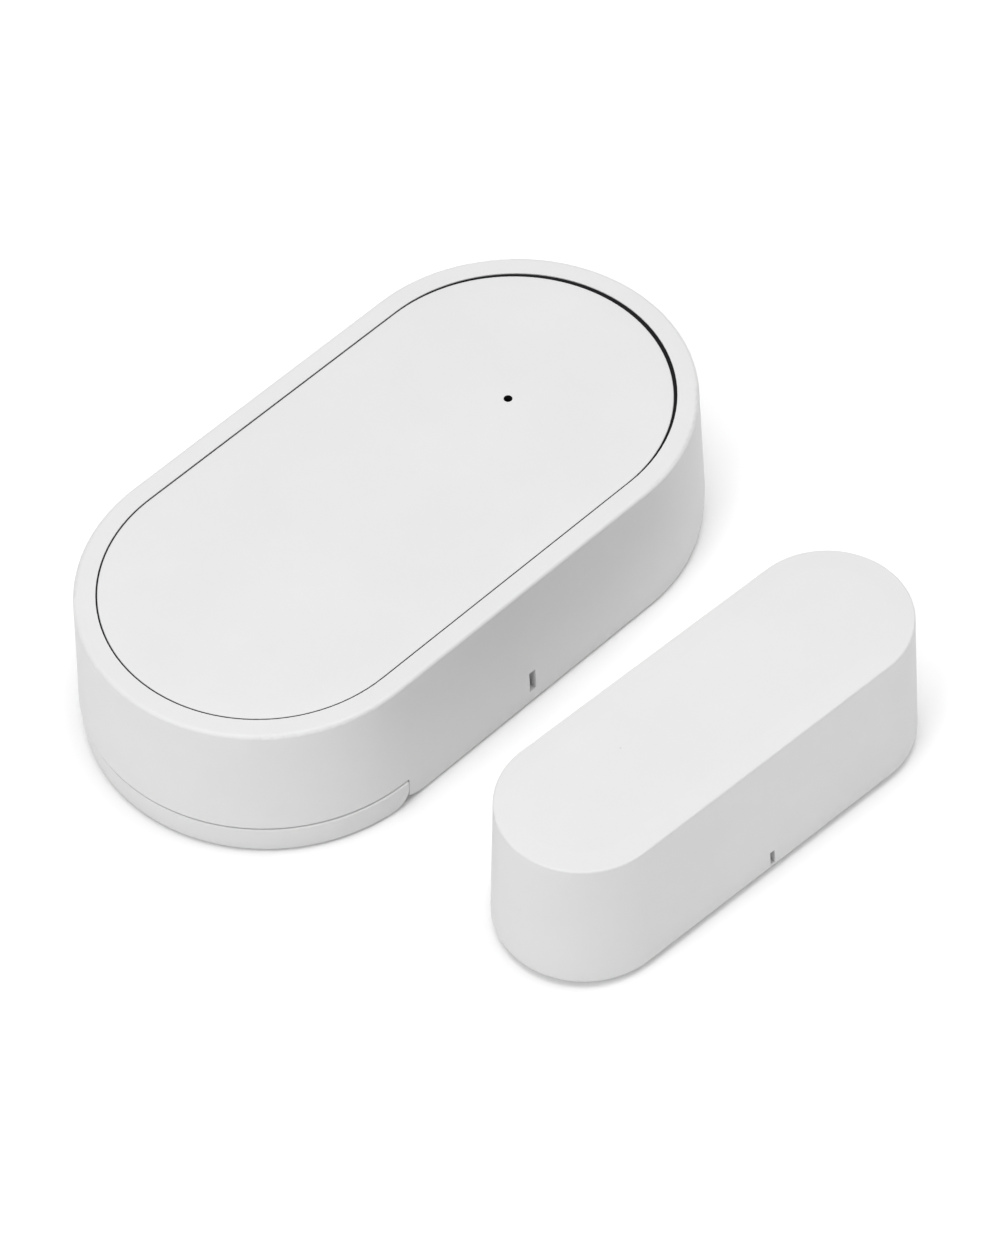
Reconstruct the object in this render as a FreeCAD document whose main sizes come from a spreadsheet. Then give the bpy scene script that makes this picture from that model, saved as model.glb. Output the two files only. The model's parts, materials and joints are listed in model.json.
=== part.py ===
import FreeCAD, Part
import math
import os
import Sketcher
from FreeCAD import Placement, Rotation, Vector

# Door contact sensor: a battery sensor case and its magnet unit, both stadium-shaped.
# +Z points out of the door frame, X runs along the case, the magnet stands on the -Y side.
# Origin: centre of the adhesive pad's underside on the sensor case.  All sizes in mm.

os.makedirs("parts", exist_ok=True)
doc = FreeCAD.newDocument("door_contact_sensor")
sheet = doc.addObject("Spreadsheet::Sheet", "dims")

SIZES = [
    # outer case: half length of the straights, end radius at the top, height, wall slope
    ("case_half", 16.8), ("case_rad", 18.2), ("case_top", 16.9), ("wall_slope", 0.038),
    ("base_z", 0.3), ("tuck_top", 2.4), ("foot_tuck", 0.22), ("tuck_round", 20.0),
    ("foot_round", 0.15),
    ("rim_round", 0.4), ("cavity_rad", 16.5), ("ledge_z", 14.2), ("ledge_open_rad", 14.3),
    ("notch_z", 3.66), ("notch_x", 16.62), ("notch_run", 2.8), ("notch_rise", 0.8),
    ("rib_pitch", 9.0), ("rib_width", 0.8), ("rib_depth", 0.6), ("rib_low", 2.6),
    # inlaid top panel
    ("panel_rad", 15.92), ("panel_gap", 0.15), ("panel_end_gap", 0.145), ("panel_thick", 1.7),
    ("panel_round", 0.12), ("panel_shift", 0.105), ("panel_side_shift", 0.04),
    ("gasket_drop", 0.1), ("gasket_play", 0.02),
    ("peg_x", 8.0), ("peg_y", 15.35), ("peg_rad", 0.6),
    ("peg_hole_rad", 0.75), ("peg_len", 0.9),
    ("pin_x", 16.2), ("pinhole_rad", 0.43), ("pinhole_depth", 0.9), ("pipe_bore_rad", 0.8),
    ("pipe_rad", 0.75), ("pipe_flange_rad", 1.6), ("pipe_flange_thick", 0.5),
    # alignment slot low down at mid length of the long wall that faces the magnet
    ("slot_x", 0.2), ("slot_width", 0.85), ("slot_low", 2.05), ("slot_high", 4.85),
    ("slot_floor_y", 17.35),
    # sliding rear cover with the end lip
    ("cover_thick", 1.4), ("cover_half_width", 16.3), ("lip_top", 3.46), ("lip_inner_rad", 17.2),
    ("lip_round", 0.12), ("lip_shift", 0.14), ("lip_corner", 2.2),
    ("trough_rad", 5.6), ("trough_depth", 0.35), ("stiffener_y", 12.15), ("stiffener_width", 0.8),
    ("stiffener_top", 3.1), ("stiffener_len", 44.0), ("hook_len", 2.4), ("hook_reach", 0.5),
    ("pip_rad", 1.6), ("pip_depth", 0.15), ("pip_x", 4.0), ("pip_spread", 20.5), ("pip_y", 14.2),
    ("trough_x", -22.0), ("trough_len", 40.0), ("hook_thick", 0.6), ("rail_reach", 16.8),
    ("rail_low", 1.0), ("rail_high", 1.6),
    ("rail_end_x", 14.3), ("groove_reach", 17.0), ("groove_gap", 0.15), ("recess_play", 0.2),
    ("pad_thick", 0.8), ("pad_len", 44.0), ("pad_width", 22.0), ("pad_corner", 3.0),
    # main board and its screws
    ("board_z", 12.95), ("board_thick", 1.0), ("board_rad", 15.9),
    ("screw_x", 19.4), ("screw_y", 13.4), ("screw_rad", 0.7), ("screw_head_rad", 1.5),
    ("screw_head_thick", 1.0), ("screw_tip_z", 15.0), ("drive_len", 1.7), ("drive_width", 0.4),
    ("drive_depth", 0.4), ("boss_rad", 1.8), ("pilot_rad", 0.75), ("clear_rad", 0.85),
    # battery tray and the two AAA cells
    ("tray_x0", -28.3), ("tray_x1", 22.3), ("tray_half_width", 11.4), ("tray_low", 2.0),
    ("tray_wall", 1.0), ("bore_rad", 5.35), ("cell_y", 5.35), ("cell_z", 7.2),
    ("lug_half", 2.0), ("lug_thick", 1.2), ("crown_half", 2.4),
    ("can_rad", 5.12), ("can_len", 43.6), ("wrap_rad", 5.25), ("wrap_setback", 0.35),
    ("cap_rad", 1.9), ("cap_len", 0.9), ("washer_in", 2.6), ("washer_out", 4.6),
    ("washer_thick", 0.25),
    ("contact_thick", 0.4), ("contact_rad", 4.4), ("tail_half", 0.8), ("tail_gap", 0.1),
    ("bridge_low", 4.4), ("bridge_width", 2.4),
    ("spring_len", 3.3), ("spring_rad", 2.6), ("spring_wire_rad", 0.22), ("spring_turns", 3.0),
    # small parts on the board
    ("led_len", 1.6), ("led_width", 0.8), ("led_thick", 0.6),
    ("reed_y", -13.8), ("reed_z", 11.6), ("reed_half", 6.0), ("reed_rad", 1.0),
    ("reed_bore", 0.78), ("reed_bore_half", 4.6), ("lead_rad", 0.25), ("lead_x", 8.5),
    ("blade_overlap", 0.4), ("blade_width", 0.9), ("blade_thick", 0.2), ("blade_offset", 0.15),
    ("radio_x", 27.2), ("radio_len", 8.0), ("radio_width", 13.0), ("radio_thick", 0.8),
    ("shield_len", 7.0), ("shield_width", 8.4), ("shield_thick", 1.6), ("shield_y", -1.8),
    ("antenna_len", 5.0), ("antenna_width", 1.8), ("antenna_thick", 1.0), ("antenna_y", 4.8),
    ("crystal_x", 1.0), ("strip_y", 13.7), ("crystal_len", 3.2), ("crystal_width", 1.5),
    ("crystal_thick", 0.8),
    ("capacitor_x", -8.0), ("capacitor_rad", 1.8), ("capacitor_len", 7.0),
    ("button_x", 8.0), ("button_len", 4.0), ("button_width", 3.6), ("button_thick", 1.6),
    ("button_bore", 0.98), ("button_rad", 0.9), ("button_low", 10.45), ("button_high", 11.85),
    ("button_bore_depth", 0.8),
    ("tamper_x", -15.0), ("guide_rad", 1.6), ("guide_bore", 0.9), ("guide_len", 4.0),
    ("tamper_rad", 0.82), ("tamper_low", 1.9), ("tamper_high", 11.9),
    # magnet unit, drawn about its own centre and then placed
    ("mag_x", 1.38), ("mag_y", -40.64), ("mag_turn", 2.6), ("mag_half", 15.9),
    ("mag_rad", 8.27), ("mag_top", 17.2), ("mag_top_round", 0.2), ("mag_crown_run", 2.3),
    ("mag_crown_drop", 0.1), ("mag_base_round", 1.1),
    ("mag_cavity_rad", 7.0), ("mag_roof", 1.5), ("mag_rebate_rad", 7.5), ("mag_back_rad", 7.42),
    ("mag_back_thick", 1.4), ("mag_slot_width", 0.6), ("mag_slot_low", 1.35),
    ("mag_slot_high", 3.2), ("mag_slot_floor_y", 7.9),
    ("mag_screw_x", 19.3), ("mag_boss_rad", 2.0), ("mag_screw_head_rad", 1.4),
    ("mag_screw_tip_z", 8.0), ("mag_screw_head_thick", 0.6),
    ("magnet_len", 28.0), ("magnet_width", 5.0), ("magnet_high", 13.9), ("magnet_low", 5.9),
    ("magnet_play", 0.1), ("carrier_half_len", 15.7), ("carrier_half_width", 6.8),
    ("carrier_low", 4.0), ("shim_len", 26.0), ("shim_width", 4.6),
    ("mag_pad_len", 27.0), ("mag_pad_width", 9.0), ("mag_pad_corner", 2.0),
]


class Dim:
    """A size that carries both its value and the spreadsheet expression behind it."""

    def __init__(self, value, text):
        self.value, self.text = value, text

    @staticmethod
    def of(other):
        return other if isinstance(other, Dim) else Dim(float(other), "%.6g" % other)

    def _join(self, sign, other, value):
        return Dim(value, "(%s %s %s)" % (self.text, sign, other.text))

    def __add__(self, other):
        other = Dim.of(other)
        return self._join("+", other, self.value + other.value)

    def __sub__(self, other):
        other = Dim.of(other)
        return self._join("-", other, self.value - other.value)

    def __mul__(self, other):
        other = Dim.of(other)
        return self._join("*", other, self.value * other.value)

    def __truediv__(self, other):
        other = Dim.of(other)
        return self._join("/", other, self.value / other.value)

    def __neg__(self):
        return Dim.of(-1.0) * self

    def __radd__(self, other):
        return Dim.of(other) + self

    def __rsub__(self, other):
        return Dim.of(other) - self

    def __rmul__(self, other):
        return Dim.of(other) * self


# reach of a cutting tool that has to pass right through the case
THROUGH = 60

D = {}
for row, (alias, number) in enumerate(SIZES, start=1):
    sheet.set("A%d" % row, alias)
    sheet.set("B%d" % row, repr(number))
    sheet.setAlias("B%d" % row, alias)
    D[alias] = Dim(number, "dims." + alias)
doc.recompute()

nodes = {}


def bind(obj, **links):
    """Tie properties to sheet expressions; double underscores stand for dots."""
    for prop, dim in links.items():
        obj.setExpression(prop.replace("__", "."), Dim.of(dim).text)
    return obj


def keep(obj, name):
    """Register a finished sub-part under its file name."""
    obj.Label = name
    nodes[name] = obj
    return obj


def move(obj, x, y, z, axis=Vector(0, 0, 1), turn=0):
    obj.Placement = Placement(Vector(0, 0, 0), Rotation(axis, turn))
    return bind(obj, Placement__Base__x=x, Placement__Base__y=y, Placement__Base__z=z)


def box(name, x, y, z, length, width, height):
    """Box centred on x and y that stands on z."""
    obj = doc.addObject("Part::Box", name)
    bind(obj, Length=length, Width=width, Height=height)
    return move(obj, x - Dim.of(length) / 2, y - Dim.of(width) / 2, z)


def post(name, x, y, z, radius, height):
    """Upright cylinder standing on z."""
    obj = doc.addObject("Part::Cylinder", name)
    bind(obj, Radius=radius, Height=height)
    return move(obj, x, y, z)


def rod(name, x, y, z, radius, length):
    """Cylinder lying along +X from x."""
    obj = doc.addObject("Part::Cylinder", name)
    bind(obj, Radius=radius, Height=length)
    return move(obj, x, y, z, Vector(0, 1, 0), 90)


def corner_cutter(name, x, z, run, rise, toward):
    """Tool that lifts a lower corner by an arc, as seen from the side.

    The arc leaves the floor at run from the corner and is rise high there; toward is the
    side of x on which the solid lies.
    """
    radius = (run * run + rise * rise) / (2 * rise)
    blank = box(name + "_blank", x + toward * run / 2, 0, z - 0.1, run, THROUGH, rise + 0.1)
    roll = doc.addObject("Part::Cylinder", name + "_roll")
    bind(roll, Radius=radius, Height=THROUGH + 10)
    move(roll, x + toward * run, THROUGH / 2 + 5, z + radius, Vector(1, 0, 0), 90)
    return cut(name, blank, [roll])


def fuse(name, parts):
    obj = doc.addObject("Part::MultiFuse", name)
    obj.Shapes = parts
    obj.Refine = True
    return obj


def cut(name, base, tools):
    obj = doc.addObject("Part::Cut", name)
    obj.Base = base
    obj.Tool = tools[0] if len(tools) == 1 else fuse(name + "_tools", tools)
    obj.Refine = True
    return obj


def common(name, base, tool):
    obj = doc.addObject("Part::Common", name)
    obj.Base = base
    obj.Tool = tool
    return obj


def origin_plane(body, role):
    return next(item for item in body.Origin.OriginFeatures if item.Role == role)


def sketch(body, name, role, offset):
    """Sketch on one of the body's own planes, lifted along that plane's normal."""
    obj = body.newObject("Sketcher::SketchObject", name)
    obj.AttachmentSupport = (origin_plane(body, role), "")
    obj.MapMode = "FlatFace"
    bind(obj, AttachmentOffset__Base__z=offset)
    return obj


def size(obj, kind, *where):
    """Named driving constraint whose last argument is a Dim."""
    dim = Dim.of(where[-1])
    index = obj.addConstraint(Sketcher.Constraint(kind, *where[:-1], dim.value))
    label = "size_%d" % index
    obj.renameConstraint(index, label)
    obj.setExpression("Constraints." + label, dim.text)


def stadium(body, name, z, half, radius):
    """Two half circles joined by straights, centred on the origin."""
    obj = sketch(body, name, "XY_Plane", z)
    half, radius = Dim.of(half), Dim.of(radius)
    h, r = half.value, radius.value
    up = Vector(0, 0, 1)
    obj.addGeometry([
        Part.LineSegment(Vector(h, r, 0), Vector(-h, r, 0)),
        Part.ArcOfCircle(Part.Circle(Vector(-h, 0, 0), up, r), math.pi / 2, 3 * math.pi / 2),
        Part.LineSegment(Vector(-h, -r, 0), Vector(h, -r, 0)),
        Part.ArcOfCircle(Part.Circle(Vector(h, 0, 0), up, r), -math.pi / 2, math.pi / 2),
    ], False)
    for first in range(4):
        obj.addConstraint(Sketcher.Constraint("Tangent", first, 2, (first + 1) % 4, 1))
    obj.addConstraint(Sketcher.Constraint("Equal", 1, 3))
    obj.addConstraint(Sketcher.Constraint("PointOnObject", 1, 3, -1))
    obj.addConstraint(Sketcher.Constraint("Symmetric", 1, 3, 3, 3, -1, 1))
    size(obj, "Radius", 3, radius)
    size(obj, "DistanceX", -1, 1, 3, 3, half)
    return obj


def circle(body, name, z, x, y, radius):
    obj = sketch(body, name, "XY_Plane", z)
    x, y, radius = Dim.of(x), Dim.of(y), Dim.of(radius)
    obj.addGeometry(Part.Circle(Vector(x.value, y.value, 0), Vector(0, 0, 1), radius.value), False)
    size(obj, "Radius", 0, radius)
    place_point(obj, 0, 3, x, y)
    return obj


def place_point(obj, geometry, point, x, y):
    """Pin one point of a sketch at a signed position from the origin."""
    for kind, dim in (("DistanceX", Dim.of(x)), ("DistanceY", Dim.of(y))):
        if dim.value == 0:
            axis = -2 if kind == "DistanceX" else -1
            obj.addConstraint(Sketcher.Constraint("PointOnObject", geometry, point, axis))
        else:
            size(obj, kind, -1, 1, geometry, point, dim)


def outline(body, name, role, offset, corners):
    """Closed polygon through corners given as (x, y) pairs."""
    obj = sketch(body, name, role, offset)
    points = [Vector(Dim.of(x).value, Dim.of(y).value, 0) for x, y in corners]
    count = len(points)
    obj.addGeometry([Part.LineSegment(points[i], points[(i + 1) % count])
                     for i in range(count)], False)
    for i in range(count):
        obj.addConstraint(Sketcher.Constraint("Coincident", i, 2, (i + 1) % count, 1))
        place_point(obj, i, 1, *corners[i])
    return obj


def feature(body, kind, name, profile, **links):
    obj = body.newObject("PartDesign::" + kind, name)
    obj.Profile = profile
    profile.Visibility = False
    return bind(obj, **links)


def pad(body, name, profile, length, reverse=False):
    obj = feature(body, "Pad", name, profile, Length=length)
    obj.Reversed = reverse
    return obj


def pocket(body, name, profile, depth, upward=False):
    obj = feature(body, "Pocket", name, profile, Length=depth)
    obj.Reversed = upward
    return obj


def fillet(body, name, base, radius, pick):
    """Round the edges of base whose centre of mass satisfies pick."""
    doc.recompute()
    names = ["Edge%d" % i for i, edge in enumerate(base.Shape.Edges, start=1) if pick(edge)]
    obj = body.newObject("PartDesign::Fillet", name)
    obj.Base = (base, names)
    return bind(obj, Radius=radius)


def new_body(name):
    return doc.addObject("PartDesign::Body", name)


def rework(name, base):
    """Body that starts from a finished solid, so that its edges can be dressed."""
    body = new_body(name)
    body.BaseFeature = base
    doc.recompute()
    return body, body.Group[0]


def level(edge, z):
    """True for an edge that lies wholly at height z."""
    bounds = edge.BoundBox
    return abs(bounds.ZMin - z.value) < 1e-3 and abs(bounds.ZMax - z.value) < 1e-3


def flared_block(body, half, steps):
    """Stadium block whose end radius changes with height; steps are (radius, z) upwards."""
    bottom, top = steps[0][1], steps[-1][1]
    mirrored = [(-Dim.of(radius), z) for radius, z in reversed(steps)]
    middle = outline(body, "middle_profile", "YZ_Plane", -Dim.of(half), steps + mirrored)
    pad(body, "straight_middle", middle, 2 * Dim.of(half))
    for end in (-1, 1):
        profile = outline(body, "end_profile", "YZ_Plane", end * Dim.of(half),
                          [(0, bottom)] + steps + [(0, top)])
        turn = feature(body, "Revolution", "round_end", profile)
        turn.ReferenceAxis = (profile, ["V_Axis"])
        turn.Angle = 180
        turn.Reversed = end > 0
    return turn


def prism(name, z, half, radius, height):
    """Straight-sided stadium block standing on z."""
    body = new_body(name)
    pad(body, name + "_block", stadium(body, name + "_outline", z, half, radius), height)
    return body


def rounded_plate(name, x, y, z, length, width, height, corner):
    """Plate with four round corners: a box with its upright edges filleted."""
    body = new_body(name)
    half_x, half_y = Dim.of(length) / 2, Dim.of(width) / 2
    profile = outline(body, name + "_outline", "XY_Plane", z, [
        (x - half_x, y - half_y), (x + half_x, y - half_y),
        (x + half_x, y + half_y), (x - half_x, y + half_y)])
    slab = pad(body, name + "_slab", profile, height)
    fillet(body, name + "_corners", slab, corner,
           lambda edge: edge.BoundBox.ZLength > 0.1)
    return body


board_top = D["board_z"] + D["board_thick"]
panel_z = D["case_top"] - D["panel_thick"]
recess_rad = D["panel_rad"] + D["panel_gap"]
cover_top = D["base_z"] + D["cover_thick"]
lug_z = D["board_z"] - D["lug_thick"]
screw_spots = [(sx * D["screw_x"], sy * D["screw_y"]) for sx in (1, -1) for sy in (1, -1)]


def wall_rad(z):
    """Outer radius of the case's sloping wall at a height."""
    return D["case_rad"] + D["wall_slope"] * (D["case_top"] - z)


def case_form(name):
    """Solid outer form of the case: flared walls that curve in at the foot."""
    form = new_body(name)
    flared = flared_block(form, D["case_half"], [
        (wall_rad(D["tuck_top"]) - D["foot_tuck"], D["base_z"]),
        (wall_rad(D["tuck_top"]), D["tuck_top"]), (D["case_rad"], D["case_top"])])
    tucked = fillet(form, "form_tuck", flared, D["tuck_round"],
                    lambda edge: level(edge, D["tuck_top"]))
    crown = fillet(form, "form_rim_round", tucked, D["rim_round"],
                   lambda edge: level(edge, D["case_top"]))
    fillet(form, "form_foot_round", crown, D["foot_round"],
           lambda edge: level(edge, D["base_z"]))
    return form


# ---- front shell: the form hollowed from below, with a recess and ledge for the panel ----
groove_low = D["rail_low"] - D["groove_gap"]
groove_height = D["rail_high"] + D["groove_gap"] - groove_low
groove_len = D["rail_end_x"] + D["groove_gap"] + D["notch_x"] + 0.2
shell = case_form("shell_body")
pocket(shell, "shell_cavity",
       stadium(shell, "cavity_outline", D["base_z"], D["case_half"], D["cavity_rad"]),
       D["ledge_z"] - D["base_z"], upward=True)
pocket(shell, "shell_recess",
       stadium(shell, "recess_outline", D["case_top"], D["case_half"], recess_rad),
       D["panel_thick"])
pocket(shell, "shell_opening",
       stadium(shell, "opening_outline", panel_z, D["case_half"], D["ledge_open_rad"]),
       panel_z - D["ledge_z"])
shell_tools = [
    box("end_notch", -(D["notch_x"] + 10), 0, -1, 20, THROUGH, D["notch_z"] + 1),
    corner_cutter("notch_corner", -D["notch_x"], D["base_z"], D["notch_run"], D["notch_rise"], 1),
    box("side_slot", D["slot_x"], -(D["slot_floor_y"] + 1), D["slot_low"], D["slot_width"], 2,
        D["slot_high"] - D["slot_low"]),
]
for side in (1, -1):
    shell_tools.append(box("groove_%s" % ("left" if side > 0 else "right"),
                           D["rail_end_x"] + D["groove_gap"] - groove_len / 2,
                           side * (D["groove_reach"] - 0.5), groove_low,
                           groove_len, 1, groove_height))
    for end in (1, -1):
        shell_tools.append(post("peg_hole", end * D["peg_x"], side * D["peg_y"],
                                panel_z - D["peg_len"] - 0.05, D["peg_hole_rad"], 1.2))
bosses = [cut("board_boss", post("boss_post", x, y, board_top, D["boss_rad"],
                                 panel_z - board_top),
              [post("boss_pilot", x, y, board_top, D["pilot_rad"], panel_z - board_top)])
          for x, y in screw_spots]
for x, y in screw_spots:
    shell_tools.append(post("boss_clear", x, y, D["ledge_z"] - 0.5, D["boss_rad"],
                            panel_z - D["ledge_z"] + 0.5))
ribs = [box("wall_rib", (number - 1.5) * D["rib_pitch"], side * (D["cavity_rad"] -
            D["rib_depth"] / 2 + 0.1), D["rib_low"], D["rib_width"], D["rib_depth"] + 0.2,
            D["ledge_z"] - D["rib_low"]) for side in (1, -1) for number in range(4)]
keep(fuse("front_shell", [cut("shell_cut", shell, shell_tools)] + bosses + ribs), "front_shell")

# ---- top panel: inlaid stadium plate with four pegs and the indicator pinhole; it sits
# slightly off centre in its recess, so the parting gap is widest at the far end ----
panel = new_body("panel_body")
plate = pad(panel, "panel_plate",
            stadium(panel, "panel_outline", panel_z, D["case_half"] - D["panel_end_gap"],
                    D["panel_rad"]),
            D["panel_thick"])
fillet(panel, "panel_edge", plate, D["panel_round"],
       lambda edge: level(edge, D["case_top"]))
for sx in (1, -1):
    for sy in (1, -1):
        pad(panel, "panel_peg",
            circle(panel, "peg_circle", panel_z, sx * D["peg_x"], sy * D["peg_y"], D["peg_rad"]),
            D["peg_len"], reverse=True)
pin_from_panel = (D["pin_x"] + D["panel_shift"], -D["panel_side_shift"])
pocket(panel, "panel_pinhole",
       circle(panel, "pinhole_circle", D["case_top"], *pin_from_panel, D["pinhole_rad"]),
       D["panel_thick"])
pocket(panel, "panel_pipe_bore",
       circle(panel, "pipe_bore_circle", panel_z, *pin_from_panel, D["pipe_bore_rad"]),
       D["panel_thick"] - D["pinhole_depth"], upward=True)
move(keep(panel, "top_panel"), -D["panel_shift"], D["panel_side_shift"], 0)

gasket_height = D["panel_thick"] - D["gasket_drop"]
keep(cut("gasket_ring", prism("gasket_out", panel_z, D["case_half"],
                              recess_rad - D["gasket_play"], gasket_height),
         [move(prism("gasket_in", panel_z - 1, D["case_half"] - D["panel_end_gap"],
                     D["panel_rad"] + D["gasket_play"], gasket_height + 2),
               -D["panel_shift"], D["panel_side_shift"], 0)]), "panel_gasket")

keep(fuse("light_pipe", [
    post("pipe_stem", D["pin_x"], 0, panel_z, D["pipe_rad"],
         D["panel_thick"] - D["pinhole_depth"]),
    post("pipe_flange", D["pin_x"], 0, panel_z - D["pipe_flange_thick"], D["pipe_flange_rad"],
         D["pipe_flange_thick"])]), "light_pipe")

# ---- rear cover: slab with side rails and an end lip that completes the case's foot ----
cover_tools = [box("pad_recess", 0, 0, -1, D["pad_len"] + D["recess_play"] * 2,
                   D["pad_width"] + D["recess_play"] * 2, D["pad_thick"] + 1)]
for side in (1, -1):
    cover_tools.append(rod("cell_trough", D["trough_x"], side * D["cell_y"],
                           cover_top - D["trough_depth"] + D["trough_rad"],
                           D["trough_rad"], D["trough_len"]))
    for end in (1, -1):
        cover_tools.append(post("ejector_mark", D["pip_x"] + end * D["pip_spread"],
                                side * D["pip_y"], cover_top - D["pip_depth"], D["pip_rad"], 1))
near_end = box("near_end_block", -(D["case_half"] + 10), 0, D["base_z"], 20, THROUGH,
               D["lip_top"] - D["base_z"])
lip_form = move(case_form("cover_form"), 0, -D["lip_shift"], 0)
lip_ring = cut("lip_ring", common("lip_blank", lip_form, near_end), [
    post("lip_hollow", -D["case_half"], 0, cover_top, D["lip_inner_rad"], 5),
    corner_cutter("lip_cutter", -D["case_half"], D["base_z"], D["lip_corner"],
                  D["lip_corner"], -1)])
stiff_top = D["stiffener_top"] - cover_top
cover_parts = [lip_ring, prism("cover_slab", D["base_z"], D["case_half"],
                               D["cover_half_width"], D["cover_thick"])]
for side in (1, -1):
    rail_len = D["rail_end_x"] + D["case_half"]
    rail_width = D["rail_reach"] - D["cover_half_width"] + 0.5
    cover_parts.append(box("cover_rail", D["rail_end_x"] - rail_len / 2,
                           side * (D["rail_reach"] - rail_width / 2), D["rail_low"],
                           rail_len, rail_width, D["rail_high"] - D["rail_low"]))
    cover_parts.append(box("stiffener", 0, side * D["stiffener_y"], cover_top,
                           D["stiffener_len"], D["stiffener_width"], stiff_top))
    cover_parts.append(box("snap_hook", (D["hook_len"] - D["stiffener_len"]) / 2,
                           side * (D["stiffener_y"] + (D["stiffener_width"] +
                                                       D["hook_reach"]) / 2),
                           D["stiffener_top"] - D["hook_thick"],
                           D["hook_len"], D["hook_reach"], D["hook_thick"]))
cover, cover_base = rework("cover_body",
                           cut("cover_cut", fuse("cover_solid", cover_parts), cover_tools))


def lip_rim(edge):
    """Outer top arc of the lip."""
    return level(edge, D["lip_top"]) and edge.BoundBox.YLength > 36


fillet(cover, "lip_rim_round", cover_base, D["lip_round"], lip_rim)
keep(cover, "rear_cover")
keep(rounded_plate("pad_body", 0, 0, 0, D["pad_len"], D["pad_width"], D["pad_thick"],
                   D["pad_corner"]), "adhesive_pad")

# ---- main board, the screws that clamp it, and the indicator lamp ----
board = new_body("board_body")
pad(board, "board_slab",
    stadium(board, "board_outline", D["board_z"], D["case_half"], D["board_rad"]),
    D["board_thick"])
for x, y in screw_spots:
    pocket(board, "board_hole", circle(board, "hole_circle", board_top, x, y, D["clear_rad"]),
           D["board_thick"])
keep(board, "main_board")


def cross_drive(name, x, y, z):
    """Cross-shaped driver recess whose mouth is at height z, opening downwards."""
    long, narrow, depth = D["drive_len"], D["drive_width"], D["drive_depth"]
    return [box(name + "_a", x, y, z, long, narrow, depth),
            box(name + "_b", x, y, z, narrow, long, depth)]


def screw(name, x, y, head_z, head_rad, head_thick, tip_z):
    head = post(name + "_head", x, y, head_z, head_rad, head_thick)
    shank = post(name + "_shank", x, y, head_z, D["screw_rad"], tip_z - head_z)
    return cut(name, fuse(name + "_solid", [head, shank]),
               cross_drive(name + "_drive", x, y, head_z))


for number, (x, y) in enumerate(screw_spots, start=1):
    keep(screw("case_screw_%d" % number, x, y, lug_z - D["screw_head_thick"],
               D["screw_head_rad"], D["screw_head_thick"], D["screw_tip_z"]),
         "case_screw_%d" % number)
keep(box("led_box", D["pin_x"], 0, board_top, D["led_len"], D["led_width"], D["led_thick"]),
     "status_led")

# ---- battery tray: block with two cell bores, open below, crown windows and screw lugs ----
tray_len = D["tray_x1"] - D["tray_x0"]
tray_mid = (D["tray_x0"] + D["tray_x1"]) / 2
bay_x0, bay_x1 = D["tray_x0"] + D["tray_wall"], D["tray_x1"] - D["tray_wall"]
bay_len = bay_x1 - bay_x0
tray_solid = [box("tray_block", tray_mid, 0, D["tray_low"], tray_len, D["tray_half_width"] * 2,
                  D["board_z"] - D["tray_low"])]
tray_tools = []
for x, y in screw_spots:
    inward = 1 if y.value < 0 else -1
    tray_solid.append(box("tray_lug", x, y + inward * 0.5, lug_z, D["lug_half"] * 2,
                          D["lug_half"] * 2 + 1, D["lug_thick"]))
    tray_tools.append(post("lug_hole", x, y, lug_z - 1, D["clear_rad"], D["lug_thick"] + 2))
for side in (1, -1):
    cell_y = side * D["cell_y"]
    tray_tools.append(rod("cell_bore", bay_x0, cell_y, D["cell_z"], D["bore_rad"], bay_len))
    tray_tools.append(box("cell_mouth", tray_mid, cell_y, D["tray_low"] - 1, bay_len,
                          D["bore_rad"] * 2, D["cell_z"] - D["tray_low"] + 1))
    tray_tools.append(box("crown_window", tray_mid, cell_y, D["cell_z"], bay_len - 8,
                          D["crown_half"] * 2, 8))
    tray_tools.append(box("tail_slot", bay_x1 - D["contact_thick"] / 2, cell_y, D["cell_z"],
                          D["contact_thick"] + D["tail_gap"] * 2,
                          (D["tail_half"] + D["tail_gap"]) * 2, 8))
keep(cut("battery_tray", fuse("tray_solid", tray_solid), tray_tools), "battery_tray")

# ---- cell contacts: bridge at the near end, two separate plates with tails at the far end ----
near_plate_x, far_plate_x = bay_x0, bay_x1 - D["contact_thick"]
discs = [rod("bridge_disc", near_plate_x, side * D["cell_y"], D["cell_z"], D["contact_rad"],
             D["contact_thick"]) for side in (1, -1)]
keep(fuse("contact_bridge", discs + [
    box("bridge_strip", near_plate_x + D["contact_thick"] / 2, 0, D["bridge_low"],
        D["contact_thick"], D["cell_y"] * 2, D["bridge_width"])]), "contact_bridge")
for name, side in (("contact_positive", 1), ("contact_negative", -1)):
    keep(fuse(name, [
        rod(name + "_disc", far_plate_x, side * D["cell_y"], D["cell_z"], D["contact_rad"],
            D["contact_thick"]),
        box(name + "_tail", far_plate_x + D["contact_thick"] / 2, side * D["cell_y"],
            D["cell_z"], D["contact_thick"], D["tail_half"] * 2, D["board_z"] - D["cell_z"])]),
         name)


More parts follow.
